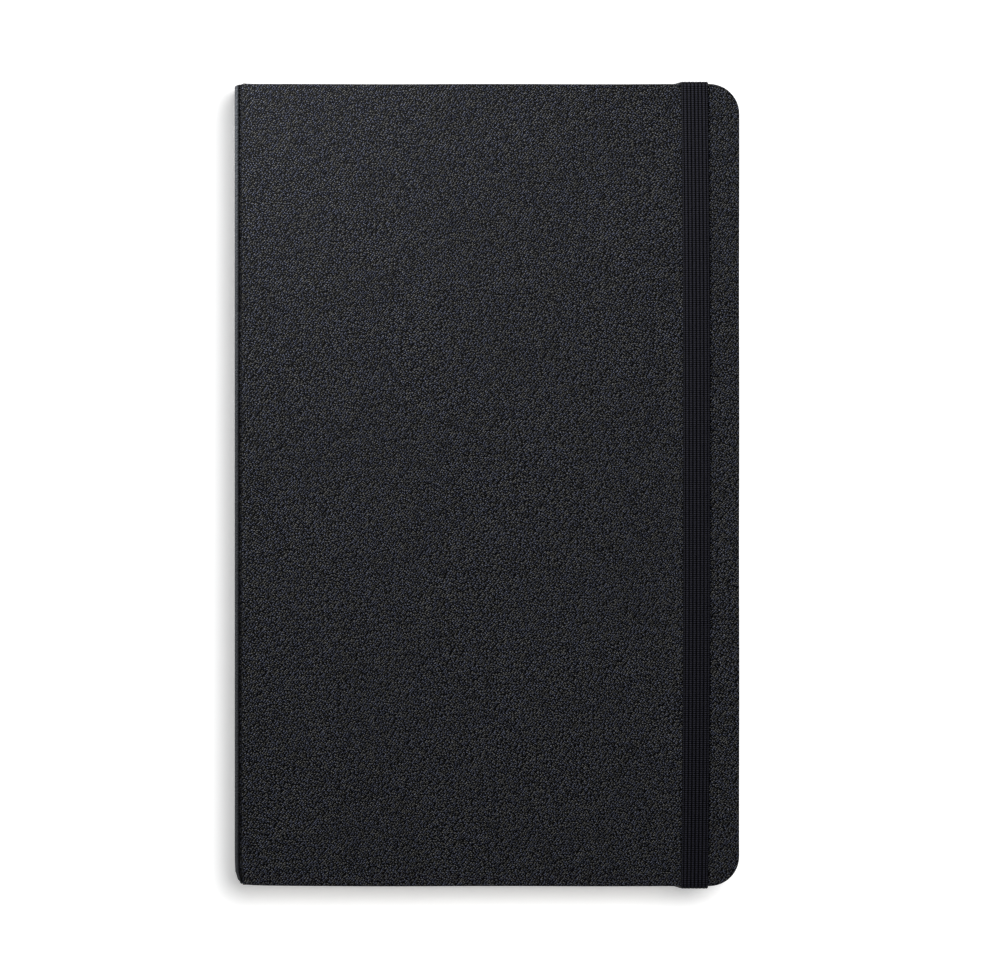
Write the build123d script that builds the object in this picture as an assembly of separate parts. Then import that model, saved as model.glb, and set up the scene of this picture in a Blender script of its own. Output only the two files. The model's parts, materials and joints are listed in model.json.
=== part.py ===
from build123d import *
import os

# A case-bound sketchbook with an elastic closure, lying on its back cover.
# X runs from the spine to the fore-edge, Y from the tail to the head, Z up to the front cover.
# All sizes are in millimetres.

# Driving dimensions
COVER_LENGTH = 210.0       # head to tail, over the covered boards
BOOK_WIDTH = 132.1         # outer face of the spine to the fore-edge of the cover
JOINT_WIDTH = 1.75         # outer face of the spine to the spine edge of a covered board
CORNER_RADIUS = 7.85       # fore-edge corners of the cover
EDGE_ROUND = 0.3           # softened edge round the outer face of a cover
SKIN = 0.35                # leatherette
BOARD = 1.5                # cover board
TURN_IN = 10.0             # leatherette folded in over the board's inner face
PASTEDOWN = 0.15
SPINE_CARD = 0.7
SPINE_INSET = 0.4          # how far each end of the spine stops short of the boards
SPINE_END_Z = 1.25         # the spine piece stops this far inside the covers' faces, so that it can turn flat
SPINE_TURN_IN = 5.0        # leatherette folded in over each end of the spine card
SHOULDER_WIDTH = 0.95      # outer face of the spine to the far side of its rounded shoulder
GROOVE_X = 1.25            # near side of the joint's groove, from the outer face of the spine
GROOVE_DEPTH = 0.9         # cover's face to the middle of the leatherette in the groove
JOINT_BEND = 0.18          # bends of the leatherette in the joint
HOLLOW = 0.15              # between the spine card and the lining
LINING = 0.1
LINING_MARGIN = 8.0        # lining stops this far short of the cover's head and tail
MULL = 0.2
MULL_WING = 20.0           # mull glued to each board, measured from the joint
MULL_MARGIN = 13.0         # mull stops this far short of the cover's head and tail
THREAD = 0.24
FOLD_GAP = 0.06            # between the sewing thread and the folds
FOLD_ROUND = 0.4           # fold radius, as a share of a folded sheet's height
LEAF = 0.19
SHEET_GAP = 0.015          # between the leaves of one signature
BODY_GAP = 0.03            # between pieces that move apart
SIGNATURES = 13
CENTRE_SIGNATURE = 7       # the book opens at the middle of this one
LEAVES_PER_SIGNATURE = 4
SQUARE = 3.3               # cover beyond the leaves at the fore-edge
SQUARE_ENDS = 2.5          # cover beyond the leaves at head and tail
LEAF_CORNER_RADIUS = 6.0
ELASTIC_WIDTH = 7.1
ELASTIC = 0.6
ELASTIC_FRONT_X = 120.5    # middle of the front strand, from the outer face of the spine
ELASTIC_BACK_X = 118.0     # middle of the anchored ends, from the outer face of the spine
SLIT_FROM_END = 16.0       # slits in the back cover, from its head and tail edges
SLIT = 0.8
ELASTIC_TAB = 20.0         # end of the elastic glued inside the back cover
CLEARANCE = 0.02           # between the elastic and the cover
ELASTIC_ROOM = 0.2         # on each side of the elastic in its groove
TAB_ROOM = 0.1             # on each side of the elastic in its slit
OVERCUT = 1.0              # how far a cutting block reaches past the face it opens
STITCH_STATIONS = (6.0, 50.0, 62.0, 90.0)  # sewing holes, on each side of the middle of the spine

# Worked out from the driving dimensions
OUTER_X = -BOOK_WIDTH / 2
FORE_EDGE_X = BOOK_WIDTH / 2
HALF_LENGTH = COVER_LENGTH / 2
COVER = SKIN + BOARD + SKIN + PASTEDOWN
SIGNATURE = LEAVES_PER_SIGNATURE * LEAF + (LEAVES_PER_SIGNATURE - 1) * SHEET_GAP
BLOCK = SIGNATURES * SIGNATURE + (SIGNATURES - 1) * BODY_GAP
THICKNESS = 2 * (COVER + BODY_GAP + LEAF + BODY_GAP) + BLOCK
BOARD_TOP = SKIN + BOARD
LINING_X = OUTER_X + SKIN + SPINE_CARD + HOLLOW
MULL_X = LINING_X + LINING
THREAD_X = MULL_X + MULL
FOLD_X = THREAD_X + THREAD + FOLD_GAP
LEAF_EDGE_X = FORE_EDGE_X - SQUARE
LEAF_HALF_LENGTH = HALF_LENGTH - SQUARE_ENDS
BLOCK_BOTTOM = COVER + BODY_GAP + LEAF + BODY_GAP


def page_outline(x_low, x_high, half_length, radius):
    """A rectangle with square corners at the spine and round ones at the fore-edge."""
    outline = Rectangle(x_high - x_low, 2 * half_length, align=(Align.MIN, Align.CENTER))
    outline = fillet(outline.vertices().group_by(Axis.X)[-1], radius)
    return Pos(x_low, 0) * outline


def slab(outline, z_low, z_high):
    """An outline extruded between two heights."""
    return extrude(Pos(0, 0, z_low) * outline, z_high - z_low)


def block(x, y, z):
    """A box given by its lowest and highest X, Y and Z."""
    size = Box(x[1] - x[0], y[1] - y[0], z[1] - z[0], align=(Align.MIN, Align.MIN, Align.MIN))
    return Pos(x[0], y[0], z[0]) * size


def to_front(shape):
    """The same piece for the front of the book, mirrored about its mid-thickness."""
    return mirror(shape, Plane.XY.offset(THICKNESS / 2))


def to_tail(shape):
    """The same piece at the tail of the book."""
    return mirror(shape, Plane.XZ)


# Cover boards, their leatherette and the paper pasted inside, built at the back of the book


def elastic_press():
    """The block of the back cover that the elastic's head end presses in, skin included."""
    middle = OUTER_X + ELASTIC_BACK_X
    half = ELASTIC_WIDTH / 2 + ELASTIC_ROOM + SKIN
    y_low = HALF_LENGTH - SLIT_FROM_END - SLIT - SKIN
    depth = ELASTIC + CLEARANCE + SKIN
    return block((middle - half, middle + half), (y_low, HALF_LENGTH), (0, depth))


def elastic_groove():
    """The room for the elastic in that block."""
    middle = OUTER_X + ELASTIC_BACK_X
    half = ELASTIC_WIDTH / 2 + ELASTIC_ROOM
    y = (HALF_LENGTH - SLIT_FROM_END - SLIT, HALF_LENGTH + OVERCUT)
    return block((middle - half, middle + half), y, (-OVERCUT, ELASTIC + CLEARANCE))


def elastic_slit():
    """The slit through the back cover, with the shallow bed of the glued end inside."""
    middle = OUTER_X + ELASTIC_BACK_X
    half = ELASTIC_WIDTH / 2 + TAB_ROOM
    x = (middle - half, middle + half)
    y_high = HALF_LENGTH - SLIT_FROM_END
    slit = block(x, (y_high - SLIT, y_high), (-OVERCUT, BOARD_TOP))
    bed = block(x, (y_high - ELASTIC_TAB, y_high), (BOARD_TOP - ELASTIC - CLEARANCE, BOARD_TOP))
    return slit + bed


def mull_wing():
    """The flange of mull glued in a shallow bed on the board's inner face."""
    x_low = OUTER_X + JOINT_WIDTH + SKIN
    half = HALF_LENGTH - MULL_MARGIN
    return block((x_low, x_low + MULL_WING), (-half, half), (BOARD_TOP - MULL, BOARD_TOP))


def board():
    """The bare board inside the leatherette."""
    x_low = OUTER_X + JOINT_WIDTH + SKIN
    outline = page_outline(x_low, FORE_EDGE_X - SKIN, HALF_LENGTH - SKIN, CORNER_RADIUS - SKIN)
    return slab(outline, SKIN, BOARD_TOP) - mull_wing()


def cover_skin():
    """Leatherette over the outer face, round the edges and turned in on three sides."""
    x_low = OUTER_X + JOINT_WIDTH
    outline = page_outline(x_low, FORE_EDGE_X, HALF_LENGTH, CORNER_RADIUS)
    skin = slab(outline, 0, BOARD_TOP + SKIN)
    rim = skin.faces().sort_by(Axis.Z)[0].edges().sort_by(Axis.X)[1:]
    skin = fillet(rim, EDGE_ROUND)
    pocket = page_outline(x_low + SKIN, FORE_EDGE_X - SKIN, HALF_LENGTH - SKIN, CORNER_RADIUS - SKIN)
    skin -= slab(pocket, SKIN, BOARD_TOP)
    window = block(
        (x_low - OVERCUT, FORE_EDGE_X - TURN_IN),
        (TURN_IN - HALF_LENGTH, HALF_LENGTH - TURN_IN),
        (BOARD_TOP, BOARD_TOP + OVERCUT),
    )
    return skin - window


def pastedown():
    """Endpaper pasted to the board, stepping up over the turned-in leatherette."""
    x_low = OUTER_X + JOINT_WIDTH + SKIN
    outline = page_outline(x_low, LEAF_EDGE_X, LEAF_HALF_LENGTH, LEAF_CORNER_RADIUS)
    sheet = slab(outline, BOARD_TOP, COVER)
    half = HALF_LENGTH - TURN_IN
    x_edge = FORE_EDGE_X - TURN_IN
    room = block((x_low - OVERCUT, x_edge), (-half, half), (BOARD_TOP, BOARD_TOP + SKIN))
    sheet -= slab(outline, BOARD_TOP, BOARD_TOP + SKIN) - room
    dip_half = half - PASTEDOWN
    dip_z = (BOARD_TOP + PASTEDOWN, COVER + OVERCUT)
    return sheet - block((x_low - OVERCUT, x_edge - PASTEDOWN), (-dip_half, dip_half), dip_z)


def joint_skin():
    """Leatherette between spine and board: round the shoulder, then down into the joint's groove."""
    middle = OUTER_X + SKIN / 2
    path = FilletPolyline(
        (middle, SPINE_END_Z - CLEARANCE),
        (middle, SKIN),
        (OUTER_X + SHOULDER_WIDTH, SKIN),
        (OUTER_X + GROOVE_X, GROOVE_DEPTH),
        (OUTER_X + JOINT_WIDTH - CLEARANCE, GROOVE_DEPTH),
        radius=JOINT_BEND,
    )
    section = Plane.XZ * trace(path, SKIN)
    return extrude(section, HALF_LENGTH - SPINE_INSET, both=True)


# Spine pieces


def spine_skin():
    """Leatherette over the spine card, turned in at head and tail."""
    half = HALF_LENGTH - SPINE_INSET
    z = (SPINE_END_Z, THICKNESS - SPINE_END_Z)
    turned = OUTER_X + SKIN + SPINE_CARD
    skin = block((OUTER_X, turned + SKIN), (-half, half), z)
    skin -= block((OUTER_X + SKIN, turned), (SKIN - half, half - SKIN), z)
    return skin - block((turned, turned + SKIN), (SPINE_TURN_IN - half, half - SPINE_TURN_IN), z)


def spine_strip(x_low, thickness, end_margin, side_margin):
    """A flat strip that runs the length of the spine."""
    half = HALF_LENGTH - end_margin
    return block((x_low, x_low + thickness), (-half, half), (side_margin, THICKNESS - side_margin))


def sewing_thread():
    """Chains of thread that cross the back of every signature at the sewing holes."""
    height = BLOCK - SIGNATURE
    z_low = BLOCK_BOTTOM + SIGNATURE / 2
    chains = []
    for station in STITCH_STATIONS:
        for side in (-1, 1):
            place = Pos(THREAD_X + THREAD / 2, side * station, z_low)
            chains.append(place * Cylinder(THREAD / 2, height, align=(Align.CENTER, Align.CENTER, Align.MIN)))
    return chains


# Leaves


def leaf(z_low):
    """One loose leaf."""
    outline = page_outline(FOLD_X, LEAF_EDGE_X, LEAF_HALF_LENGTH, LEAF_CORNER_RADIUS)
    return slab(outline, z_low, z_low + LEAF)


def folded_sheet(x_fold, z_low, height):
    """A sheet folded once, lying on its side, with its fold towards the spine."""
    outline = page_outline(x_fold, LEAF_EDGE_X, LEAF_HALF_LENGTH, LEAF_CORNER_RADIUS)
    sheet = slab(outline, z_low, z_low + height)
    fold_edges = sheet.edges().filter_by(Axis.Y).group_by(Axis.X)[0]
    sheet = fillet(fold_edges, FOLD_ROUND * height)
    inside = (z_low + LEAF, z_low + height - LEAF)
    return sheet - block((x_fold + LEAF, FORE_EDGE_X), (-HALF_LENGTH, HALF_LENGTH), inside)


def signature(z_low):
    """Two folded sheets, one inside the other."""
    nested = LEAF + SHEET_GAP
    return [
        folded_sheet(FOLD_X, z_low, SIGNATURE),
        folded_sheet(FOLD_X + nested, z_low + nested, SIGNATURE - 2 * nested),
    ]


# Elastic closure


def elastic_front():
    """The strand across the front cover."""
    middle = OUTER_X + ELASTIC_FRONT_X
    z_low = THICKNESS + CLEARANCE
    half_length = HALF_LENGTH + CLEARANCE + ELASTIC
    return block(
        (middle - ELASTIC_WIDTH / 2, middle + ELASTIC_WIDTH / 2),
        (-half_length, half_length),
        (z_low, z_low + ELASTIC),
    )


def elastic_head_run():
    """From the front strand down the head edge, under the back cover and in through its slit."""
    half = ELASTIC_WIDTH / 2
    top = OUTER_X + ELASTIC_FRONT_X
    bottom = OUTER_X + ELASTIC_BACK_X
    side = Polyline(
        (bottom - half, 0),
        (bottom + half, 0),
        (top + half, THICKNESS),
        (top - half, THICKNESS),
        close=True,
    )
    y_leg = HALF_LENGTH + CLEARANCE
    leg = extrude(Pos(0, y_leg, 0) * (Plane.XZ * make_face(side)), ELASTIC, dir=(0, 1, 0))
    across = (bottom - half, bottom + half)
    y_slit = HALF_LENGTH - SLIT_FROM_END - SLIT + TAB_ROOM
    under = block(across, (y_slit, y_leg + ELASTIC), (0, ELASTIC))
    through = block(across, (y_slit, y_slit + ELASTIC), (0, BOARD_TOP))
    y_tab = HALF_LENGTH - SLIT_FROM_END - ELASTIC_TAB + ELASTIC_ROOM
    tab = block(across, (y_tab, y_slit + ELASTIC), (BOARD_TOP - ELASTIC, BOARD_TOP))
    return leg + under + through + tab


# Every piece, by the name of its node


def all_pieces():
    """A dictionary of node names and their solids."""
    press = elastic_press() + to_tail(elastic_press())
    groove = elastic_groove() + to_tail(elastic_groove())
    slits = elastic_slit() + to_tail(elastic_slit())
    outline = page_outline(OUTER_X + JOINT_WIDTH, FORE_EDGE_X, HALF_LENGTH, CORNER_RADIUS)
    press = press & slab(outline, 0, THICKNESS)
    back_skin = cover_skin() + press - groove - slits
    card_margin = SPINE_INSET + SKIN + CLEARANCE
    pieces = {
        "back_board": board() - press - slits,
        "back_cover_skin": back_skin,
        "back_joint_skin": joint_skin(),
        "back_mull_wing": mull_wing(),
        "back_pastedown": pastedown(),
        "front_board": to_front(board()),
        "front_cover_skin": to_front(cover_skin()),
        "front_joint_skin": to_front(joint_skin()),
        "front_mull_wing": to_front(mull_wing()),
        "front_pastedown": to_front(pastedown()),
        "spine_skin": spine_skin(),
        "spine_card": spine_strip(OUTER_X + SKIN, SPINE_CARD, card_margin, SPINE_END_Z),
        "spine_lining": spine_strip(LINING_X, LINING, LINING_MARGIN, BLOCK_BOTTOM),
        "spine_mull": spine_strip(MULL_X, MULL, MULL_MARGIN, BLOCK_BOTTOM),
        "sewing_thread": sewing_thread(),
        "back_flyleaf": leaf(COVER + BODY_GAP),
        "front_flyleaf": leaf(THICKNESS - COVER - BODY_GAP - LEAF),
        "elastic_front_strand": elastic_front(),
        "elastic_head_run": elastic_head_run(),
        "elastic_tail_run": to_tail(elastic_head_run()),
    }
    for number in range(1, SIGNATURES + 1):
        z_low = BLOCK_BOTTOM + (SIGNATURES - number) * (SIGNATURE + BODY_GAP)
        name = f"signature_{number:02d}"
        if number == CENTRE_SIGNATURE:
            step = LEAF + SHEET_GAP
            pieces[name + "_back"] = [leaf(z_low), leaf(z_low + step)]
            pieces[name + "_front"] = [leaf(z_low + 2 * step), leaf(z_low + 3 * step)]
        else:
            pieces[name] = signature(z_low)
    return pieces


os.makedirs("parts", exist_ok=True)
for node, shape in all_pieces().items():
    solids = []
    for item in shape if isinstance(shape, list) else [shape]:
        solids.extend(item.solids())
    export_step(Compound(children=solids) if len(solids) > 1 else solids[0], f"parts/{node}.step")
print("thickness", round(THICKNESS, 4), "fold from the outer face", round(FOLD_X - OUTER_X, 4))
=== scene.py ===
import json
import math
import random

import bmesh
import bpy
import numpy as np
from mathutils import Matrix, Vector


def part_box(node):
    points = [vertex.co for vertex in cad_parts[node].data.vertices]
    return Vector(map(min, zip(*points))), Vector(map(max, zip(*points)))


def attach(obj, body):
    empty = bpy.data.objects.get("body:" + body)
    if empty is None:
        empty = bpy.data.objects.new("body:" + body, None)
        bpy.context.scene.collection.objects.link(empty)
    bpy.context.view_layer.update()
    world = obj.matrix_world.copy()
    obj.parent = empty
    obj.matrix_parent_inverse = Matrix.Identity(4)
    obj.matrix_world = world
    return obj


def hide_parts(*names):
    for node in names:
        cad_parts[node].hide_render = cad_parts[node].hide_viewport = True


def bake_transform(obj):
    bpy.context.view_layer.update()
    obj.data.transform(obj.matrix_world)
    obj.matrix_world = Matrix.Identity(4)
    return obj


# A hard-cover sketchbook with an elastic closure, closed and lying on its back cover. The spine
# is at -X, the head at +Y and the front cover on top. Shapes are worked out in millimetres from
# the CAD frame and turned into metres when a mesh is made.
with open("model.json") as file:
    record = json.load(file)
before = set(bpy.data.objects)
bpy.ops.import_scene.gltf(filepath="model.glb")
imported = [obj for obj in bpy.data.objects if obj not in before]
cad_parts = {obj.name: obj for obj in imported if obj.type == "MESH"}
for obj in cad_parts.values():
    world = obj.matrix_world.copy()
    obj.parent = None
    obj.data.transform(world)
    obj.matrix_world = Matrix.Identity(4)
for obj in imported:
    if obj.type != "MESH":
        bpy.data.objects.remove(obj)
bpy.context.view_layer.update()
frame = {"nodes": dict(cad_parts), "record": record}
MM = 0.001
random.seed(7)


def box_mm(node):
    """Lowest and highest corner of a CAD node, in millimetres."""
    low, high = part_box(node)
    return np.array(low) / MM, np.array(high) / MM


SPINE_LOW, SPINE_HIGH = box_mm("spine_skin")
OUTER_X = SPINE_LOW[0]
SPINE_H = SPINE_HIGH[0] - OUTER_X
FORE_X, HALF_LENGTH, COVER_H = box_mm("back_cover_skin")[1]
THICKNESS = box_mm("front_cover_skin")[1][2]
CORNER_R = 7.85
TURN_IN = 10.0
SPINE_TURN_IN = 5.0
RIM_R = 0.4
HINGE_INSET = 1.4
LEATHER_THICKNESS = 0.3


def smoothstep(value, low, high):
    """0 below low, 1 above high, and a smooth rise between them."""
    t = np.clip((np.asarray(value, float) - low) / (high - low), 0, 1)
    return t * t * (3 - 2 * t)


# Mesh helpers

SHARP = math.radians(60)
MERGE_DISTANCE = 0.001


def make_object(name, points, faces, smooth=True, **attributes):
    """A mesh object from points in millimetres. Each attribute is a vector per point."""
    mesh = bpy.data.meshes.new(name)
    mesh.from_pydata((np.asarray(points) * MM).tolist(), [], faces)
    mesh.validate()
    for key, value in attributes.items():
        layer = mesh.attributes.new(key, "FLOAT_VECTOR", "POINT")
        layer.data.foreach_set("vector", np.asarray(value, np.float32).ravel())
    mesh.polygons.foreach_set("use_smooth", [smooth] * len(mesh.polygons))
    mesh.update()
    obj = bpy.data.objects.new(name, mesh)
    bpy.context.scene.collection.objects.link(obj)
    return obj


def grid_faces(columns, rows, flip=False, offset=0, wrap=False):
    """Quads over a columns by rows block of points, numbered row by row within each column."""
    faces = []
    for i in range(columns - 1):
        for j in range(rows if wrap else rows - 1):
            k = (j + 1) % rows
            quad = (i * rows + j, (i + 1) * rows + j, (i + 1) * rows + k, i * rows + k)
            quad = tuple(offset + q for q in quad)
            faces.append(quad[::-1] if flip else quad)
    return faces


def arc_points(centre, radius, low, high, count=7):
    """Points on an arc, between two angles in degrees."""
    return [
        (centre[0] + radius * math.cos(a), centre[1] + radius * math.sin(a))
        for a in np.radians(np.linspace(low, high, count))
    ]


def solidify(obj, thickness, offset):
    """Gives a sheet its thickness, with sharp cut edges."""
    shell = obj.modifiers.new("thickness", "SOLIDIFY")
    shell.thickness = thickness * MM
    shell.offset = offset
    shell.use_even_offset = False
    obj.modifiers.new("cut_edges", "EDGE_SPLIT").split_angle = SHARP


def merge_close(mesh):
    """Joins points that share a place, as where a turn-in narrows to nothing."""
    work = bmesh.new()
    work.from_mesh(mesh)
    bmesh.ops.remove_doubles(work, verts=work.verts, dist=MERGE_DISTANCE * MM)
    bmesh.ops.dissolve_degenerate(work, edges=work.edges, dist=MERGE_DISTANCE * MM)
    work.to_mesh(mesh)
    work.free()


# Material helpers


class Nodes:
    """A small wrapper that makes and links the shader nodes of a new material, or of a world."""

    def __init__(self, name, world=None):
        self.owner = world or bpy.data.materials.new(name)
        self.owner.use_nodes = True
        self.tree = self.owner.node_tree
        self.shader = self.tree.nodes.get("Principled BSDF")

    def add(self, kind, inputs=(), **settings):
        node = self.tree.nodes.new(kind)
        for key, value in settings.items():
            setattr(node, key, value)
        for key, value in dict(inputs).items():
            self.put(node.inputs[key], value)
        return node

    def put(self, socket, value):
        if isinstance(value, bpy.types.NodeSocket):
            self.tree.links.new(value, socket)
        else:
            socket.default_value = value

    def attribute(self, name):
        return self.add("ShaderNodeAttribute", attribute_name=name).outputs["Vector"]

    def place(self):
        """A point's place on its object, in metres."""
        return self.add("ShaderNodeTexCoord").outputs["Object"]

    def split(self, vector):
        return self.add("ShaderNodeSeparateXYZ", {"Vector": vector}).outputs

    def math(self, operation, a, b=0.0, c=0.0):
        return self.add("ShaderNodeMath", {0: a, 1: b, 2: c}, operation=operation).outputs[0]

    def noise(self, vector, scale, detail=2.0, roughness=0.5, output="Fac"):
        inputs = {"Vector": vector, "Scale": scale, "Detail": detail, "Roughness": roughness}
        return self.add("ShaderNodeTexNoise", inputs).outputs[output]

    def spread(self, value, low, high, to_low=0.0, to_high=1.0):
        """Maps low..high to to_low..to_high, and holds the ends."""
        inputs = {"Value": value, "From Min": low, "From Max": high}
        inputs.update({"To Min": to_low, "To Max": to_high})
        return self.add("ShaderNodeMapRange", inputs).outputs["Result"]

    def shift(self, vector, push, amount):
        """Moves a vector by an amount of another one."""
        inputs = {0: push, "Scale": amount}
        moved = self.add("ShaderNodeVectorMath", inputs, operation="SCALE").outputs[0]
        inputs = {0: vector, 1: moved}
        return self.add("ShaderNodeVectorMath", inputs, operation="ADD").outputs[0]

    def mix(self, factor, a, b):
        """A colour between two others."""
        node = self.add("ShaderNodeMix", data_type="RGBA")
        for socket, value in ((0, factor), (6, a), (7, b)):
            self.put(node.inputs[socket], value)
        return node.outputs[2]

    def bump(self, height, strength, distance):
        inputs = {"Height": height, "Strength": strength, "Distance": distance * MM}
        return self.add("ShaderNodeBump", inputs).outputs["Normal"]

    def finish(self, color, roughness, normal=None, **uniform):
        self.put(self.shader.inputs["Base Color"], color)
        self.put(self.shader.inputs["Roughness"], roughness)
        if normal is not None:
            self.put(self.shader.inputs["Normal"], normal)
        for key, value in uniform.items():
            self.shader.inputs[key.replace("_", " ")].default_value = value
        return self.owner


# Materials. Pitches and depths are in millimetres.

GRAIN_PITCH = 0.5
GRAIN_STRETCH = 1.28
GRAIN_ANGLE = -33
GRAIN_DEPTH = 0.22
GRAIN_UNEVEN = 0.58
SWAY_SCALE, SWAY = 0.022, 6.0
WOBBLE_SCALE, WOBBLE = 0.8, 0.28
# Painted light in the grain's colour: each pebble's top is painted pale as a glint, in a grey or
# blue tint that differs at random, and the furrows between them are painted dark as shade.
DIMMEST_GLINT = 0.22
FURROW_SHADE = (0.0004, 0.0004, 0.0005, 1)
GREY_GLINT = (0.127, 0.127, 0.121, 1)
BLUE_GLINT = (0.101, 0.112, 0.161, 1)
# Painted highlight along the spine's shoulder: a pale band as if rubbed, standing in for the light
# that the shoulder catches.
RUBBED_HIGHLIGHT = (0.048, 0.052, 0.058, 1)

LOOP_PITCH = 0.56
LOOP_LEAN = 1.3
LOOP_LEAN_TURN = 3.24
YARN_DEPTH = 0.06
# Painted shade in the gaps between the elastic's ribs and on its sides and underside.
GAP_SHADE = (0.0002, 0.0002, 0.0004, 1)
# Painted highlight and shade on the knitted loops: lighter on their tops, darker between them.
YARN_SHADED = (0.0012, 0.0012, 0.0022, 1)
YARN_LIT = (0.0135, 0.0135, 0.0205, 1)

TOOTH_DEPTH = 0.05
FLECK_DEPTH = 0.08
WEAVE_DEPTH = 0.08
PLY_PITCH = 0.35
PLY_DEPTH = 0.05


def leatherette_material():
    """Black embossed leatherette: fine pebbles drawn out into slanting strokes.

    The colour is painted light: pale glints on the pebbles' tops and painted shade in the furrows
    between them. The attribute "flat" is a point's place on the sheet laid flat, in millimetres. In
    "edge", X is how strong the painted highlight on the spine's shoulder is, laid on as a rubbed
    pale band, and Y is how strong its grain is.
    """
    n = Nodes("leatherette")
    flat = n.attribute("flat")
    sway = n.noise(flat, SWAY_SCALE, 1.0, output="Color")
    wobble = n.noise(flat, WOBBLE_SCALE, 1.0, output="Color")
    place = n.shift(n.shift(flat, sway, SWAY), wobble, WOBBLE)
    drawn = n.add("ShaderNodeMapping", {"Vector": place}, vector_type="TEXTURE")
    drawn.inputs["Rotation"].default_value = (0, 0, math.radians(GRAIN_ANGLE))
    long, narrow = GRAIN_STRETCH * GRAIN_PITCH, GRAIN_PITCH / GRAIN_STRETCH
    drawn.inputs["Scale"].default_value = (long, narrow, 1)
    inputs = {"Vector": drawn.outputs["Vector"], "Scale": 1.0, "Randomness": GRAIN_UNEVEN}
    pebble = n.add("ShaderNodeTexVoronoi", inputs, voronoi_dimensions="2D")
    dome = n.spread(pebble.outputs["Distance"], 0.1, 0.55, 1.0, 0.0)
    chance = n.add("ShaderNodeSeparateColor", {"Color": pebble.outputs["Color"]}).outputs
    skin = n.mix(n.spread(chance[1], 0.3, 0.7), GREY_GLINT, BLUE_GLINT)
    # Painted glints on the pebbles' tops, brighter on some pebbles than others, over painted shade
    # in the furrows.
    glint = n.spread(chance[0], 0.0, 1.0, DIMMEST_GLINT, 1.0)
    crest = n.math("MULTIPLY", n.math("POWER", dome, 3.0), glint)
    edge = n.split(n.attribute("edge"))
    color = n.mix(n.math("MULTIPLY", crest, edge[1]), FURROW_SHADE, skin)
    # Painted highlight on the spine's shoulder, laid over the grain as a rubbed pale band.
    color = n.mix(edge[0], color, RUBBED_HIGHLIGHT)
    rough = n.spread(dome, 0.2, 0.8, 0.5, 0.32)
    return n.finish(color, rough, n.bump(dome, 1.0, GRAIN_DEPTH), Specular_IOR_Level=0.1)


def elastic_material():
    """Black ribbed elastic, with rows of small knitted loops along each rib.

    The attribute "strand" is the place across and along the band in millimetres, and the height
    on a rib. Its colour is painted shade where that height is low, in the gaps between ribs and on
    the band's sides and underside, and painted highlight on the knitted loops' tops.
    """
    n = Nodes("elastic")
    place = n.attribute("strand")
    across, along, crest = n.split(place)
    turn = n.math("MULTIPLY", across, LOOP_LEAN_TURN)
    lean = n.math("MULTIPLY", n.math("ABSOLUTE", n.math("SINE", turn)), LOOP_LEAN)
    phase = n.math("MULTIPLY_ADD", n.noise(place, 3.0), 2.0, lean)
    loops = n.math("SINE", n.math("MULTIPLY_ADD", along, 2 * math.pi / LOOP_PITCH, phase))
    relief = n.math("MULTIPLY_ADD", n.noise(place, 11.0), 0.8, loops)
    # Painted highlight on the loops' tops and painted shade between them, following their relief.
    thread = n.mix(n.spread(loops, -0.5, 0.9), YARN_SHADED, YARN_LIT)
    # Painted shade where a rib's height is low: in the gaps, and on the band's sides and underside.
    color = n.mix(n.math("POWER", crest, 4.0), GAP_SHADE, thread)
    return n.finish(color, 0.75, n.bump(relief, 0.8, YARN_DEPTH), Specular_IOR_Level=0.15)


def paper_material(name, light, dark, tooth):
    """Uncoated paper: faint cloudiness and a toothed surface."""
    n = Nodes(name)
    place = n.place()
    cloud = n.noise(place, 60.0, 3.0)
    fibre = n.noise(place, 1400.0, 4.0, 0.7)
    color = n.mix(n.spread(cloud, 0.3, 0.7), dark, light)
    rough = n.spread(fibre, 0.2, 0.8, 0.82, 0.95)
    return n.finish(color, rough, n.bump(fibre, tooth, TOOTH_DEPTH), Specular_IOR_Level=0.25)


def board_material(name, light, dark):
    """Pulp board, with pale and dark flecks."""
    n = Nodes(name)
    fleck = n.noise(n.place(), 900.0, 4.0, 0.7)
    color = n.mix(n.spread(fleck, 0.35, 0.65), dark, light)
    rough = n.spread(fleck, 0.3, 0.7, 0.85, 0.98)
    return n.finish(color, rough, n.bump(fleck, 0.5, FLECK_DEPTH), Specular_IOR_Level=0.2)


def weave_material(name, light, dark, pitch):
    """Open plain weave: two sets of threads that pass over and under each other."""
    n = Nodes(name)
    x, y, z = n.split(n.place())
    turn = math.pi / (pitch * MM)
    warp = n.math("SINE", n.math("MULTIPLY", y, turn))
    weft = n.math("SINE", n.math("MULTIPLY", n.math("ADD", x, z), turn))
    cross = n.math("MULTIPLY", warp, weft)
    color = n.mix(n.spread(n.math("ABSOLUTE", cross), 0.0, 0.5), dark, light)
    return n.finish(color, 0.9, n.bump(cross, 0.8, WEAVE_DEPTH), Specular_IOR_Level=0.2)


def thread_material(name, light, dark):
    """Twisted sewing thread, with slanting plies."""
    n = Nodes(name)
    x, y, z = n.split(n.place())
    total = n.math("ADD", n.math("ADD", x, y), z)
    ply = n.math("SINE", n.math("MULTIPLY", total, 2 * math.pi / (PLY_PITCH * MM)))
    color = n.mix(n.spread(ply, -1, 1), dark, light)
    return n.finish(color, 0.7, n.bump(ply, 0.7, PLY_DEPTH), Specular_IOR_Level=0.35)


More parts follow.
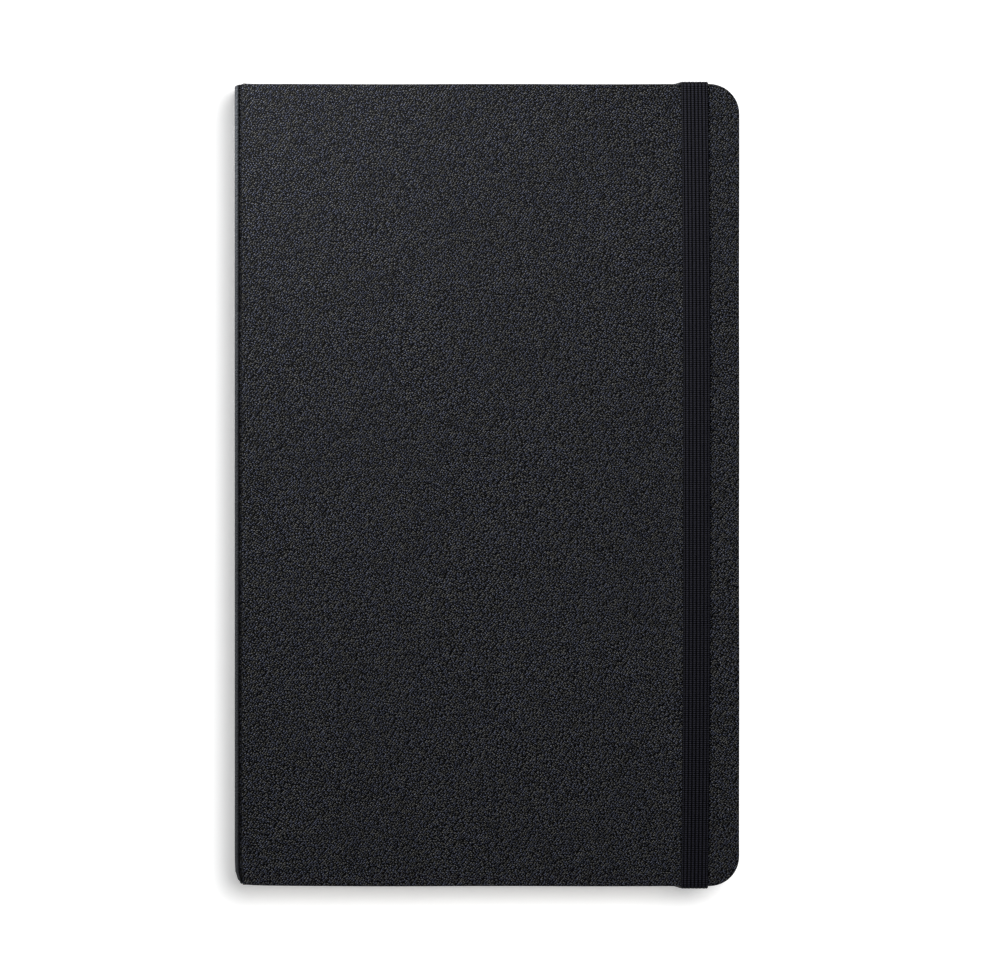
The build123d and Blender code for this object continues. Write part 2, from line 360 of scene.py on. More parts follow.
LEATHERETTE = leatherette_material()
ELASTIC = elastic_material()
DRAWING_PAPER = paper_material(
    "drawing_paper", (0.80, 0.755, 0.655, 1), (0.785, 0.74, 0.64, 1), tooth=0.5
)
ENDPAPER = paper_material("endpaper", (0.77, 0.73, 0.64, 1), (0.755, 0.715, 0.625, 1), tooth=0.3)
KRAFT = paper_material("kraft_paper", (0.40, 0.27, 0.15, 1), (0.33, 0.22, 0.12, 1), tooth=0.5)
BOARD = board_material("board", (0.42, 0.38, 0.31, 1), (0.26, 0.23, 0.19, 1))
MULL = weave_material("mull", (0.78, 0.75, 0.68, 1), (0.45, 0.42, 0.36, 1), pitch=0.7)
THREAD = thread_material("thread", (0.8, 0.79, 0.73, 1), (0.5, 0.48, 0.42, 1))


def dress(obj, material):
    """Gives a piece its material."""
    obj.data.materials.clear()
    obj.data.materials.append(material)


# The covers. A column is a line from tail to head. Each has a point on the cover's outer surface
# and one on its inner surface, as (distance from the spine's outer face, depth in the book).

CORNER_X = FORE_X - CORNER_R
CORNER_Y = HALF_LENGTH - CORNER_R
INSET_R = CORNER_R - RIM_R
ANCHOR_X = OUTER_X + 118.0
CHANNEL_HALF = 3.75
CHANNEL_DEPTH = 0.62
CHANNEL_STEPS = (1.8, 3.6, 3.75, 3.9, 4.1, 4.3)
CHANNEL_RAMP = (0.7, 0.05)
CHANNEL_BEVEL = (0.1, 0.45)
SLIT_Y = (88.2, 89.0)
ROW_CLEARANCE = 0.7
SHOULDER_R = 0.6
SHOULDER_DROP = 0.06
SHOULDER_STEP = 0.55
SHOULDER_REACH = 0.9
GROOVE_X = 1.42
GROOVE_DEPTH = 0.93
GROOVE_HALF = 0.36
GROOVE_POWER = 2.6
JOINT_END = 2.3
INNER_JOINT_WIDTH = 1.2
INNER_JOINT_DEPTH = 2.6
SPINE_TURN_IN_FADE = (1.5, 9.0)
TURN_IN_PARTS = (0.06, 0.3, 0.55, 0.8, 1.0)
PLEATS = 7
PLEAT_HEIGHT = 0.11

# Painted highlight on the covers: a pale band along the spine's shoulder, laid on as if rubbed, and
# where the grain fades out beside it
HIGHLIGHT_U, HIGHLIGHT_DEPTH = 0.35, 0.1
HIGHLIGHT_HALF = 0.55
HIGHLIGHT_AT_TAIL = 0.55
SHOULDER_GRAIN = 0.2
SHOULDER_GRAIN_FADE = (0.9, 2.0)
SPINE_GRAIN_FADE = (1.0, 4.0)

# Hand work on the covers. A reach is a distance from the head or tail edge.
TAIL_REACH = 9
TAIL_PULL, TAIL_NOTCH = 0.35, 1.1
TAIL_PULL_FADE = 2.6
TAIL_LIFT_REACH = 4
TAIL_LIFTS = ((0.45, 7.0), (0.5, 1.0))
PINCH = 0.3
PINCH_U, PINCH_HALF, PINCH_REACH = 2.9, 0.8, 2.5
FORE_WAVE, FORE_WAVE_TURN, FORE_WAVE_FADE = 0.03, 11.0, (100, 130)
END_WAVE, END_WAVE_TURN, END_WAVE_START, END_WAVE_FADE = 0.035, 9.0, 1.3, (80, 100)


def joint_columns():
    """Columns from the middle of the spine, over its shoulder and through the joint's groove."""
    centre = SHOULDER_R + SHOULDER_DROP
    outer = [(0.0, d) for d in np.linspace(THICKNESS / 2, centre, 12)]
    for a in np.radians(np.linspace(0, 90, 9))[1:]:
        outer.append((SHOULDER_R * (1 - math.cos(a)), centre - SHOULDER_R * math.sin(a)))
    for u in np.linspace(SHOULDER_R, JOINT_END, 26)[1:]:
        dip = GROOVE_DEPTH * math.exp(-((abs(u - GROOVE_X) / GROOVE_HALF) ** GROOVE_POWER))
        outer.append((u, dip + SHOULDER_DROP * (1 - smoothstep(u, SHOULDER_R, GROOVE_X))))
    inner = [(SPINE_H, d) for d in np.linspace(THICKNESS / 2, INNER_JOINT_DEPTH, 12)]
    rise = INNER_JOINT_DEPTH - COVER_H
    for t in np.linspace(0, 1, len(outer) - len(inner) + 1)[1:]:
        depth = INNER_JOINT_DEPTH - rise * math.sin(t * math.pi / 2)
        inner.append((SPINE_H + INNER_JOINT_WIDTH * t**1.5, depth))
    return outer, inner


def cover_columns(channel):
    """All columns, ending where the rounded rim starts at the fore-edge."""
    outer, inner = joint_columns()
    corner = CORNER_X - OUTER_X
    flat = list(np.linspace(JOINT_END, corner, 46)[1:])
    if channel:
        middle = ANCHOR_X - OUTER_X
        flat = [u for u in flat if abs(u - middle) > CHANNEL_STEPS[-1] + 0.3] + [middle]
        flat += [middle + side * step for side in (-1, 1) for step in CHANNEL_STEPS]
        flat.sort()
    flat += [corner + INSET_R * math.sin(a) for a in np.radians(np.linspace(0, 90, 13))[1:]]
    outer += [(u, 0.0) for u in flat]
    inner += [(u, COVER_H) for u in flat]
    return np.array(outer), np.array(inner)


def cover_rows(channel):
    """Heights along the book of the points in a column."""
    edge = HALF_LENGTH - RIM_R
    rows = list(np.linspace(-edge, edge, 71))
    if channel:
        low, high = SLIT_Y
        extra = [low - 0.9, low - 0.6, low - 0.3, low, (low + high) / 2, high, high + 0.5, high + 2]
        rows = [y for y in rows if all(abs(abs(y) - e) > ROW_CLEARANCE for e in extra)]
        rows += extra + [-e for e in extra]
    return np.array(sorted(rows))


def hand_made(points):
    """Small irregularities of a cover wrapped by hand, in millimetres.

    The tail corner at the spine is drawn in and up, the joint is pinched at the head, and the
    edges are not quite straight.
    """
    x, y = points[:, 0], points[:, 1]
    u = x - OUTER_X
    tail = np.clip((-y - HALF_LENGTH + TAIL_REACH) / TAIL_REACH, 0, 1)
    pull = TAIL_PULL * tail**2 + TAIL_NOTCH * tail**6
    x = x + pull * (1 - smoothstep(u, 0.0, TAIL_PULL_FADE))
    lift = sum(height * np.exp(-np.maximum(u, 0) / fade) for height, fade in TAIL_LIFTS)
    y = y + lift * smoothstep(-y, HALF_LENGTH - TAIL_LIFT_REACH, HALF_LENGTH)
    pinch = np.exp(-(((u - PINCH_U) / PINCH_HALF) ** 2))
    y = y + PINCH * (pinch * smoothstep(y, HALF_LENGTH - PINCH_REACH, HALF_LENGTH))
    x = x + FORE_WAVE * np.sin(y / FORE_WAVE_TURN) * smoothstep(u, *FORE_WAVE_FADE)
    wave = END_WAVE * np.sin(x / END_WAVE_TURN + END_WAVE_START)
    y = y + wave * smoothstep(np.abs(y), *END_WAVE_FADE)
    return np.stack([x, y, points[:, 2]], 1)


def channel_depth(x, y):
    """How deep the cover's face is pressed in where the anchored ends of the elastic lie."""
    inner, outer = CHANNEL_HALF - CHANNEL_BEVEL[0], CHANNEL_HALF + CHANNEL_BEVEL[1]
    across = 1 - smoothstep(np.abs(x - ANCHOR_X), inner, outer)
    along = smoothstep(np.abs(y), SLIT_Y[0] - CHANNEL_RAMP[0], SLIT_Y[0] - CHANNEL_RAMP[1])
    return CHANNEL_DEPTH * across * along


def in_slit(middle):
    """Whether a face of the back cover lies in one of the slits that the elastic goes through."""
    across = abs(middle[0] - ANCHOR_X) < CHANNEL_HALF - CHANNEL_BEVEL[0]
    return across and SLIT_Y[0] < abs(middle[1]) < SLIT_Y[1]


def outer_face(outer, rows, channel):
    """The outer face's points by column, each column's half length, and which round a corner."""
    x = outer[:, 0] + OUTER_X
    half = HALF_LENGTH - SHOULDER_STEP * np.exp(-outer[:, 0] / SHOULDER_REACH) - RIM_R
    arc = x > CORNER_X
    half[arc] = CORNER_Y + np.sqrt(np.maximum(INSET_R**2 - (x[arc] - CORNER_X) ** 2, 0))
    face = np.zeros((len(outer), len(rows), 3))
    face[:, :, 0] = x[:, None]
    face[:, :, 1] = rows[None, :] * (half / (HALF_LENGTH - RIM_R))[:, None]
    face[:, :, 2] = outer[:, 1][:, None]
    if channel:
        face[:, :, 2] += channel_depth(face[:, :, 0], face[:, :, 1])
    return face, half, arc


def face_highlight_and_grain(outer, rows, reach):
    """The attribute "edge" of the outer face: a painted highlight along the spine's shoulder, laid
    on as a rubbed pale band, with weak grain there.
    """
    u, depth = outer.T
    shoulder = reach[np.argmin(np.abs(u - HIGHLIGHT_U) + np.abs(depth - HIGHLIGHT_DEPTH))]
    highlight = np.exp(-(((reach - shoulder) / HIGHLIGHT_HALF) ** 2))
    # The painted highlight is strongest at the head and weaker towards the tail.
    to_head = HIGHLIGHT_AT_TAIL + (1 - HIGHLIGHT_AT_TAIL) * smoothstep(rows, 0, HALF_LENGTH)
    cover_grain = SHOULDER_GRAIN + (1 - SHOULDER_GRAIN) * smoothstep(u, *SHOULDER_GRAIN_FADE)
    spine_grain = smoothstep(depth, *SPINE_GRAIN_FADE) * (u < 0.1)
    highlight_and_grain = np.zeros((len(outer), len(rows), 3))
    highlight_and_grain[:, :, 0] = highlight[:, None] * to_head[None, :]
    highlight_and_grain[:, :, 1] = np.maximum(cover_grain, spine_grain)[:, None]
    return highlight_and_grain


def rim_rings(start, inside, outward):
    """Rings of points round the rim, from the outer face to the inner one."""
    depth = np.linalg.norm(inside - start, axis=1)
    angles = np.radians(np.linspace(0, 90, 7))[1:]
    steps = [(RIM_R * math.sin(a), RIM_R * (1 - math.cos(a)) / depth) for a in angles]
    steps.append((RIM_R, np.full(len(depth), 0.5)))
    steps += [(RIM_R * math.cos(a), 1 - (RIM_R - RIM_R * math.sin(a)) / depth) for a in angles]
    rings = []
    for out, share in steps:
        points = start * (1 - share[:, None]) + inside * share[:, None]
        points[:, :2] += outward * out
        rings.append(points)
    return rings


def turn_in_rings(inside, outward, width, on_arc):
    """Rings of points on the inner face, from the rim to the turn-in's edge, pleated at corners."""
    angle = np.arctan2(np.abs(outward[:, 1]), outward[:, 0])
    centre = np.stack([np.full(len(inside), CORNER_X), np.sign(inside[:, 1]) * CORNER_Y], 1)
    rings = []
    for part in TURN_IN_PARTS:
        reach = part * (width - RIM_R)
        inset = RIM_R + reach
        round_corner = centre + np.maximum(CORNER_R - inset, 0)[:, None] * outward
        straight = inside[:, :2] - outward * reach[:, None]
        points = inside.copy()
        points[:, :2] = np.where(on_arc[:, None], round_corner, straight)
        points[:, 0] = np.minimum(points[:, 0], FORE_X - inset)
        limit = HALF_LENGTH - inset
        points[:, 1] = np.clip(points[:, 1], -limit, limit)
        points[:, 2] += PLEAT_HEIGHT * np.abs(np.sin(PLEATS * angle)) * on_arc * (1 - part)
        rings.append(points)
    return rings


def cover_sheet(name, front):
    """One cover's leatherette with half of the spine's, from the outer face to the turn-ins."""
    channel = not front
    side = 1 if front else -1
    outer, inner = cover_columns(channel)
    rows = cover_rows(channel)
    count, height = len(outer), len(rows)
    face, half, arc = outer_face(outer, rows, channel)
    reach = np.concatenate([[0], np.cumsum(np.linalg.norm(np.diff(outer, axis=0), axis=1))])
    flat = np.zeros_like(face)
    flat[:, :, 0] = reach[:, None] * side
    flat[:, :, 1] = face[:, :, 1]
    highlight_and_grain = face_highlight_and_grain(outer, rows, reach)

    # The rim is a loop of points: head edge, fore-edge, tail edge
    head = [(i, height - 1) for i in range(count)]
    fore = [(count - 1, j) for j in range(height - 2, 0, -1)]
    tail = [(i, 0) for i in range(count - 1, -1, -1)]
    loop = head + fore + tail
    i, j = np.array(loop).T
    start = face[i, j]
    inside = start.copy()
    inside[:, 0] = OUTER_X + inner[i, 0]
    inside[:, 2] = inner[i, 1]
    wider = (TURN_IN - SPINE_TURN_IN) * smoothstep(outer[i, 0], *SPINE_TURN_IN_FADE)
    width = SPINE_TURN_IN + wider
    at_end = (j == 0) | (j == height - 1)
    on_arc = arc[i] & at_end
    end = np.where(j > 0, 1.0, -1.0)
    straight = np.stack([np.where(at_end, 0.0, 1.0), np.where(at_end, end, 0.0)], 1)
    round_corner = np.stack([start[:, 0] - CORNER_X, end * (half[i] - CORNER_Y)], 1) / INSET_R
    outward = np.where(on_arc[:, None], round_corner, straight)
    rings = rim_rings(start, inside, outward) + turn_in_rings(inside, outward, width, on_arc)

    folded = np.zeros(len(loop))
    last = start
    laid_flat = [flat.reshape(-1, 3)]
    for points in rings:
        folded = folded + np.linalg.norm(points - last, axis=1)
        last = points
        unfolded = outward * (side, 1) * folded[:, None]
        laid_flat.append(flat[i, j] + np.pad(unfolded, ((0, 0), (0, 1))))

    faces = grid_faces(count, height, flip=channel)
    face = face.reshape(-1, 3)
    if channel:
        faces = [quad for quad in faces if not in_slit(face[list(quad)].mean(0))]
    near = [column * height + row for column, row in loop]
    for ring in range(len(rings)):
        first = count * height + ring * len(loop)
        far = range(first, first + len(loop))
        for k in range(len(loop) - 1):
            quad = (near[k], near[k + 1], far[k + 1], far[k])
            faces.append(quad[::-1] if channel else quad)
        near = far
    points = hand_made(np.concatenate([face, *rings]))
    if front:
        points[:, 2] = THICKNESS - points[:, 2]
    edge = np.concatenate([highlight_and_grain.reshape(-1, 3)] + [highlight_and_grain[i, j]] * len(rings))
    sheet = make_object(name, points, faces, flat=np.concatenate(laid_flat), edge=edge)
    merge_close(sheet.data)
    solidify(sheet, LEATHER_THICKNESS, -1)
    dress(sheet, LEATHERETTE)
    return sheet


def hinge_point(front):
    """The joint's axis, as X and Z in millimetres."""
    return OUTER_X + HINGE_INSET, THICKNESS - HINGE_INSET if front else HINGE_INSET


def blend_cover(sheet):
    """Bakes the sheet's placement into its points."""
    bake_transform(sheet)


front_sheet = cover_sheet("front_leatherette", True)
blend_cover(front_sheet)
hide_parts("front_cover_skin", "front_joint_skin", "spine_skin")
back_sheet = cover_sheet("back_leatherette", False)
blend_cover(back_sheet)
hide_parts("back_cover_skin", "back_joint_skin")


# Spine card

CARD_R = 0.2


def rounded_outline(low, high, radius, steps=4):
    """The outline of a rectangle with rounded corners, anticlockwise."""
    middle = (low[0] + high[0]) / 2, (low[1] + high[1]) / 2
    corners = ((high[0], high[1]), (low[0], high[1]), (low[0], low[1]), (high[0], low[1]))
    points = []
    for turn, (x, y) in zip((0, 90, 180, 270), corners):
        centre = x - math.copysign(radius, x - middle[0]), y - math.copysign(radius, y - middle[1])
        points += arc_points(centre, radius, turn, turn + 90, steps)
    return points


def spine_strip():
    """The card inside the spine, which follows the pulled-in tail of the leatherette."""
    low, high = box_mm("spine_card")
    outline = rounded_outline((low[0], low[2]), (high[0], high[2]), CARD_R)
    stations = np.linspace(low[1], high[1], 81)
    grid = np.zeros((len(stations), len(outline), 3))
    grid[:, :, 0] = [x for x, z in outline]
    grid[:, :, 1] = stations[:, None]
    grid[:, :, 2] = [z for x, z in outline]
    sides, total = len(outline), len(stations) * len(outline)
    faces = grid_faces(len(stations), sides, wrap=True)
    faces.append(tuple(range(sides))[::-1])
    faces.append(tuple(range(total - sides, total)))
    card = make_object("spine_card_strip", hand_made(grid.reshape(-1, 3)), faces)
    card.modifiers.new("creases", "EDGE_SPLIT")
    dress(card, BOARD)
    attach(card, "spine")
    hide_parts("spine_card")


spine_strip()


# Leaves

LEAF_THICKNESS = 0.17
LEAF_LOW, LEAF_HIGH = box_mm("back_flyleaf")
FOLD_X = LEAF_LOW[0]
LEAF_WIDTH = LEAF_HIGH[0] - FOLD_X
LEAF_HALF = LEAF_HIGH[1]
LEAF_R = 6.0
LEAF_CORNER = LEAF_WIDTH - LEAF_R
LEAF_ROWS = np.linspace(-1, 1, 13)
LEAF_PITCH = 0.205
LEAF_GAP = 0.015
FOLD_START = 0.1
LEAF_START = 0.35
PAIR_START = 0.02
FLYLEAF_START = 2.2
SHORTEST_BEND = 1
BEND_PER_HEIGHT = 1.8
WANDER_X, WANDER_Y, WANDER_SHEET = 0.1, 0.08, 0.03


def leaf_stations(bend_length):
    """Distances from the fold of a leaf's columns: close in the gutter and round the corners."""
    gutter = np.linspace(LEAF_START, bend_length + 1.0, 16)
    middle = np.linspace(bend_length + 1.0, LEAF_CORNER, 8)[1:]
    tips = LEAF_CORNER + LEAF_R * np.sin(np.radians(np.linspace(0, 88, 7)))[1:]
    return np.concatenate([gutter, middle, tips])


def sheet_grid(path, wander):
    """Points for a path of (distance from the fold, height), as columns from tail to head."""
    grid = np.zeros((len(path), len(LEAF_ROWS), 3))
    for i, (u, z) in enumerate(path):
        past_corner = max(u - LEAF_CORNER, 0)
        half = LEAF_HALF - LEAF_R + math.sqrt(max(LEAF_R**2 - past_corner**2, 0))
        grid[i, :, 0] = FOLD_X + u + wander[0] * u / LEAF_WIDTH
        grid[i, :, 1] = LEAF_ROWS * half + wander[1]
        grid[i, :, 2] = z
    return grid


def signature_paths(low, high, kind, bend_length):
    """Lines through the middle of each sheet, as lists of (distance from the fold, height)."""
    out = leaf_stations(bend_length)
    half = LEAF_PITCH - LEAF_GAP
    bottom, top = low + half / 2, high - half / 2
    if kind == "leaf":
        return [[(u, (low + high) / 2) for u in out if u > FLYLEAF_START]]
    if kind == "pair":
        return [[(u, z) for u in (PAIR_START, *out)] for z in (bottom, top)]
    paths = []
    for nested in (0, 1):
        lower, upper = bottom + nested * LEAF_PITCH, top - nested * LEAF_PITCH
        radius = (upper - lower) / 2
        start = nested * LEAF_PITCH + FOLD_START
        path = [(u, lower) for u in out[::-1]]
        for a in np.radians(np.linspace(0, 180, 9)):
            u = start + radius * (1 - math.sin(a))
            path.append((u, (lower + upper) / 2 - radius * math.cos(a)))
        path += [(u, upper) for u in out]
        paths.append(path)
    return paths


def leaves_piece(name, node, kind, body, flying=False):
    """The leaves of one node as thin sheets, with their columns close together in the gutter."""
    low, high = box_mm(node)
    z = (low[2] + high[2]) / 2
    bend_length = SHORTEST_BEND + BEND_PER_HEIGHT * abs(z - hinge_point("front" in body)[1])
    points, faces, count = [], [], 0
    wander = [random.uniform(-most, most) for most in (WANDER_X, WANDER_Y)]
    for path in signature_paths(low[2], high[2], kind, bend_length):
        own = [shift + random.uniform(-WANDER_SHEET, WANDER_SHEET) for shift in wander]
        grid = sheet_grid(path, own)
        faces += grid_faces(grid.shape[0], grid.shape[1], offset=count)
        points.append(grid.reshape(-1, 3))
        count += len(points[-1])
    obj = make_object(name, np.concatenate(points), faces)
    solidify(obj, LEAF_THICKNESS, 0)
    if flying:
        dress(obj, ENDPAPER)
        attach(obj, body)
    else:
        dress(obj, DRAWING_PAPER)
        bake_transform(obj)
    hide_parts(node)


leaves_piece("back_flyleaf_paper", "back_flyleaf", "leaf", "pages_back_0", flying=True)
leaves_piece("front_flyleaf_paper", "front_flyleaf", "leaf", "pages_front_0", flying=True)
for body, nodes in frame["record"]["behaviour"]["bodies"].items():
    if body.startswith("pages_") and nodes[0].startswith("signature"):
        kind = "pair" if nodes[0].startswith("signature_07") else "folded"
        leaves_piece("leaves_" + nodes[0].removeprefix("signature_"), nodes[0], kind, body)


# Thread in the middle fold

STITCHES = ((-90, -62), (-50, -6), (6, 50), (62, 90))
STITCH_R = 0.15
STITCH_X = FOLD_X + 0.42
STITCH_DIVE, STITCH_WAVE = 0.5, 0.03
STITCH_RINGS, STITCH_SIDES = 24, 8


def stitch_points(start, end):
    """A tube of thread between two sewing holes, lying in the centre fold."""
    grid = np.zeros((STITCH_RINGS, STITCH_SIDES, 3))
    for i, t in enumerate(np.linspace(0, 1, STITCH_RINGS)):
        dive = STITCH_DIVE * (1 - smoothstep(min(t, 1 - t), 0, 0.05))
        for j in range(STITCH_SIDES):
            a = 2 * math.pi * j / STITCH_SIDES
            x = STITCH_X - dive + STITCH_R * math.cos(a)
            z = THICKNESS / 2 + STITCH_R * math.sin(a) + STITCH_WAVE * math.sin(9 * t)
            grid[i, j] = (x, start + (end - start) * t, z)
    return grid.reshape(-1, 3)


def centre_stitches():
    points, faces = [], []
    for start, end in STITCHES:
        offset = len(points) * STITCH_RINGS * STITCH_SIDES
        faces += grid_faces(STITCH_RINGS, STITCH_SIDES, wrap=True, offset=offset)
        points.append(stitch_points(start, end))
    obj = make_object("centre_stitches", np.concatenate(points), faces)
    dress(obj, THREAD)
    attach(obj, "spine")


centre_stitches()


# Elastic closure. The front strand lies nearer the fore-edge than the slits, and bows out a little.

ELASTIC_HALF = 3.55
ELASTIC_THICKNESS = 0.6
RIB_PITCH = 0.97
RIB_DEPTH = 0.4
INNER_RIBS_HALF = 3 * RIB_PITCH
EDGE_RIB = 3.18
EDGE_RIB_HALF = 0.33
BENT_RIBS = 0.25
STRAND_X = OUTER_X + 120.35
STRAND_BOW = 0.6
STRAND_GAP = 0.02
SLIT_BEND = 0.35
ROUTE_STEP = 0.6
# Rib heights given to the band's sides and underside. Being low, they paint these dark as shade,
# which draws a painted shadow line along the band's borders.
SIDE_CREST, UNDER_CREST = 0.4, 0.5


def rib_height(v):
    """Relief of the elastic's face across its width, from 0 in a gap to 1 on a rib's crest."""
    if abs(v) < INNER_RIBS_HALF:
        share = (abs(v) / RIB_PITCH % 1 - 0.5) / 0.5
        return math.sqrt(max(1 - share**2, 0))
    share = (abs(v) - EDGE_RIB) / EDGE_RIB_HALF
    return math.sqrt(max(1 - share**2, 0)) - 0.4 * (abs(v) < EDGE_RIB) * share**2


def elastic_section():
    """Closed outline of the elastic, as (across, out of the book, height on a rib, gap).

    The gap is the depth between two ribs, which is less where the band bends.
    """
    half = ELASTIC_THICKNESS / 2
    edge = ELASTIC_HALF - 0.07
    ribs = np.linspace(-INNER_RIBS_HALF, INNER_RIBS_HALF, 6 * 12 + 1)
    margin = np.linspace(INNER_RIBS_HALF, edge, 9)[1:]
    top = []
    for v in (*-margin[::-1], *ribs, *margin):
        gap = RIB_DEPTH * (1 - rib_height(v))
        rounded = abs(v) > EDGE_RIB
        top.append((v, half - gap * rounded, rib_height(v), gap * (not rounded)))
    side = [(ELASTIC_HALF, out, SIDE_CREST, 0) for out in (-0.02, -0.2)]
    under = [(v, -half, UNDER_CREST, 0) for v in np.linspace(edge, -edge, 9)]
    other = [(-v, out, crest, gap) for v, out, crest, gap in side[::-1]]
    return np.array(top + side + under + other)


def elastic_route():
    """Half of the elastic's line, in Y and Z, from the middle of the front to its glued end."""
    half = ELASTIC_THICKNESS / 2
    lift = half + STRAND_GAP
    round_y = HALF_LENGTH - RIM_R
    route = [(0.0, THICKNESS + lift)]
    route += arc_points((round_y, THICKNESS - RIM_R), RIM_R + lift, 90, 0)
    route += arc_points((round_y, CHANNEL_DEPTH + RIM_R), RIM_R + lift, 0, -90)
    slit = sum(SLIT_Y) / 2
    under_z = CHANNEL_DEPTH - lift
    route += arc_points((slit + SLIT_BEND, under_z + SLIT_BEND), SLIT_BEND, -90, -180, 5)
    board_top = box_mm("back_board")[1][2]
    route += arc_points((slit - SLIT_BEND, board_top - half - SLIT_BEND), SLIT_BEND, 0, 90, 5)
    route.append((box_mm("elastic_head_run")[0][1], board_top - half))
    return route


def resample(route, step):
    """Points at even steps along a line and at its own points, and how far along each is."""
    route = np.array(route)
    length = np.concatenate([[0], np.cumsum(np.linalg.norm(np.diff(route, axis=0), axis=1))])
    marks = np.unique(np.concatenate([np.arange(0, length[-1], step), length[1:]]))
    return np.stack([np.interp(marks, length, route[:, i]) for i in (0, 1)], 1), marks


def elastic_band():
    """The whole band in one piece. Its legs bend between the back cover and the front strand."""
    half_line, marks = resample(elastic_route(), ROUTE_STEP)
    line = np.concatenate([half_line[:0:-1] * (-1, 1), half_line])
    along = np.concatenate([-marks[:0:-1], marks])
    tangent = np.gradient(line, axis=0)
    tangent /= np.linalg.norm(tangent, axis=1)[:, None]
    normal = np.stack([-tangent[:, 1], tangent[:, 0]], 1)
    front = smoothstep(line[:, 1], THICKNESS - 1.0, THICKNESS)
    bow = STRAND_BOW * (1 - np.minimum(np.abs(line[:, 0]) / HALF_LENGTH, 1) ** 2.5)
    slant = np.clip((line[:, 1] - 1.0) / (THICKNESS - 1.5), 0, 1)
    middle = ANCHOR_X + (STRAND_X - ANCHOR_X) * slant + bow * front
    ribbed = BENT_RIBS + (1 - BENT_RIBS) * smoothstep(np.abs(tangent[:, 0]), 0.5, 1.0)

    across, out, crest, gap = elastic_section().T
    sides, total = len(across), len(line) * len(across)
    raised = out[None, :] - ribbed[:, None] * gap[None, :]
    points = np.zeros((len(line), sides, 3))
    points[:, :, 0] = middle[:, None] + across[None, :]
    for k in (0, 1):
        points[:, :, 1 + k] = line[:, k][:, None] + normal[:, k][:, None] * raised
    strand = np.zeros_like(points)
    strand[:, :, 0] = across[None, :]
    strand[:, :, 1] = along[:, None]
    strand[:, :, 2] = crest[None, :]
    points, strand = points.reshape(-1, 3), strand.reshape(-1, 3)
    faces = grid_faces(len(line), sides, wrap=True)
    faces.append(tuple(range(sides)))
    faces.append(tuple(range(total - sides, total))[::-1])
    obj = make_object("elastic_closure", points, faces, strand=strand)
    dress(obj, ELASTIC)
    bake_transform(obj)
    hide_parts("elastic_front_strand", "elastic_head_run", "elastic_tail_run")


elastic_band()


# CAD pieces that keep their shape

CAD_LOOKS = (
    (BOARD, ("front_board", "back_board")),
    (ENDPAPER, ("front_pastedown", "back_pastedown")),
    (KRAFT, ("spine_lining",)),
    (MULL, ("spine_mull", "front_mull_wing", "back_mull_wing")),
    (THREAD, ("sewing_thread",)),
)
for material, nodes in CAD_LOOKS:
    for node in nodes:
        mesh = frame["nodes"][node].data
        mesh.materials.clear()
        mesh.materials.append(material)


# Floor, light and camera. Places and sizes are in metres, apart from the floor's, which is in
# millimetres like any mesh here.

FLOOR_HALF = 3000.0
FLOOR_GLOW = 0.37
BLACK_ENDS = ("leatherette", "elastic_closure")
WORLD_STRENGTH = 0.1
SHADOW_LIGHT = (0.26, 0.24, 1.0)
SHADOW_LIGHT_SIZE = 0.72
SHADOW_LIGHT_POWER = 15.0
BOOK_LIGHT = (-0.12, 0.20, 0.17)
BOOK_LIGHT_TARGET = (-0.04, 0.08, 0)
BOOK_LIGHT_SIZE = 0.12
BOOK_LIGHT_POWER = 1.35
CAMERA_XY = (0.0034, 0.0020)
CAMERA_DISTANCE = 2.0
VIEW_WIDTH = 0.2617


def add_floor():
    """A white floor that glows a little, so that it comes out as white as the photo's."""
    side = FLOOR_HALF
    corners = [(-side, -side, 0), (side, -side, 0), (side, side, 0), (-side, side, 0)]
    floor = make_object("floor", corners, [(0, 1, 2, 3)], smooth=False)
    n = Nodes("floor")
    color = n.mix(n.noise(n.place(), 3.0), (0.88, 0.88, 0.88, 1), (0.9, 0.9, 0.9, 1))
    glow = {"Emission_Color": (1, 1, 1, 1), "Emission_Strength": FLOOR_GLOW}
    floor.data.materials.append(n.finish(color, 0.9, Specular_IOR_Level=0.1, **glow))


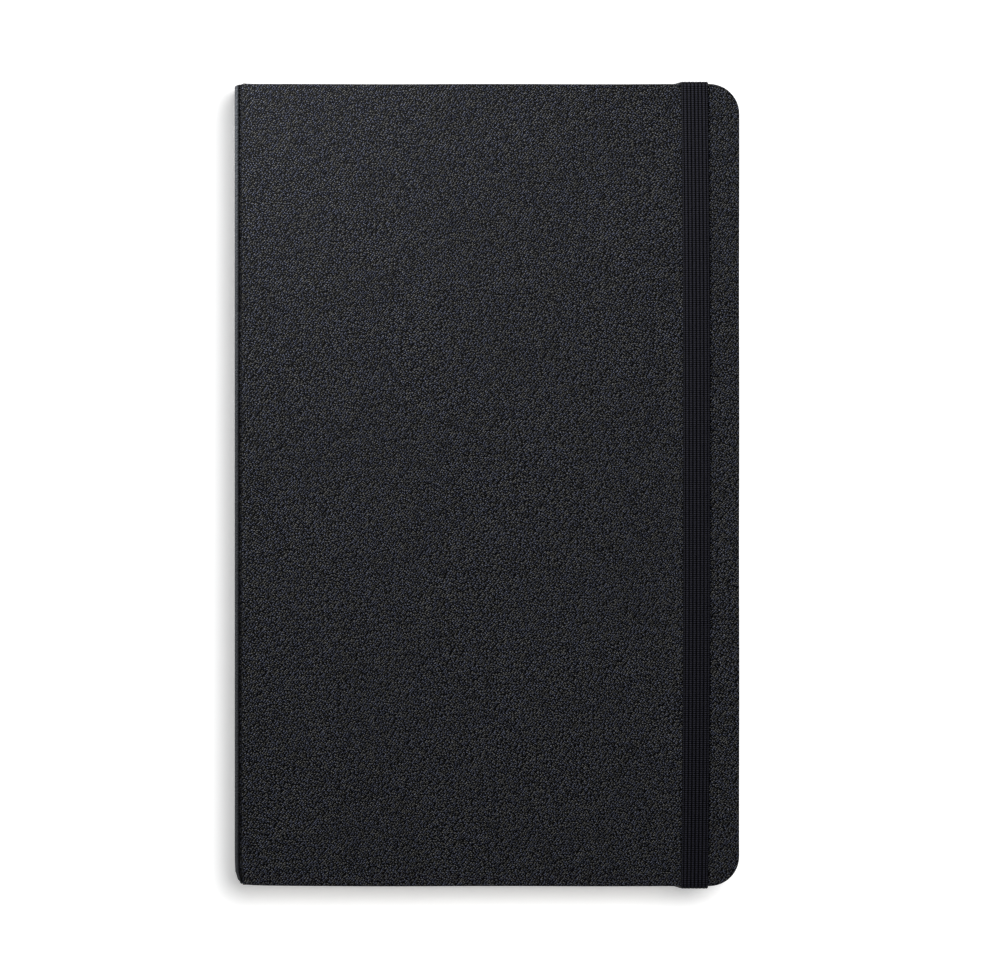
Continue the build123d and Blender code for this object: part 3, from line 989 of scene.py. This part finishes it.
def add_area(name, place, target, size, power, glossy=True):
    """A square lamp that points at a target."""
    data = bpy.data.lights.new(name, "AREA")
    data.size = size
    data.energy = power
    lamp = bpy.data.objects.new(name, data)
    lamp.location = place
    aim = Vector(target) - Vector(place)
    lamp.rotation_euler = aim.to_track_quat("-Z", "Y").to_euler()
    lamp.visible_glossy = glossy
    bpy.context.scene.collection.objects.link(lamp)
    return lamp


def spare(lamp, pale):
    """Keeps the black covers' lamp off the pale floor and paper, which it would burn out."""
    group = bpy.data.collections.new("spared")
    for obj in pale:
        group.objects.link(obj)
    lamp.light_linking.receiver_collection = group
    for member in group.collection_objects:
        member.light_linking.link_state = "EXCLUDE"


def add_world(strength):
    """A pale studio that is bright all round and dark straight above the book."""
    world = bpy.data.worlds.new("studio")
    bpy.context.scene.world = world
    n = Nodes("studio", world)
    height = n.split(n.add("ShaderNodeTexCoord").outputs["Generated"])[2]
    inputs = {"Value": height, "From Min": 0.95, "From Max": 0.75, "To Min": 0.12, "To Max": 1.0}
    ring = n.add("ShaderNodeMapRange", inputs, interpolation_type="SMOOTHSTEP").outputs["Result"]
    background = n.tree.nodes["Background"]
    background.inputs["Color"].default_value = (0.97, 0.98, 1.0, 1)
    n.put(background.inputs["Strength"], n.math("MULTIPLY", ring, strength))


def add_camera():
    """Straight above the book, far away, with the book a little left of and below the middle."""
    data = bpy.data.cameras.new("camera")
    data.sensor_width = 36.0
    data.lens = data.sensor_width * CAMERA_DISTANCE / VIEW_WIDTH
    camera = bpy.data.objects.new("camera", data)
    camera.location = (*CAMERA_XY, THICKNESS * MM + CAMERA_DISTANCE)
    bpy.context.scene.collection.objects.link(camera)
    bpy.context.scene.camera = camera


add_floor()
add_world(WORLD_STRENGTH)
add_area(
    "shadow_light", SHADOW_LIGHT, (0, 0, 0), SHADOW_LIGHT_SIZE, SHADOW_LIGHT_POWER, glossy=False
)
book_light = add_area(
    "book_light", BOOK_LIGHT, BOOK_LIGHT_TARGET, BOOK_LIGHT_SIZE, BOOK_LIGHT_POWER
)
meshes = [obj for obj in bpy.data.objects if obj.type == "MESH"]
spare(book_light, [obj for obj in meshes if not obj.name.endswith(BLACK_ENDS)])
add_camera()
bpy.context.scene.view_settings.view_transform = "Standard"
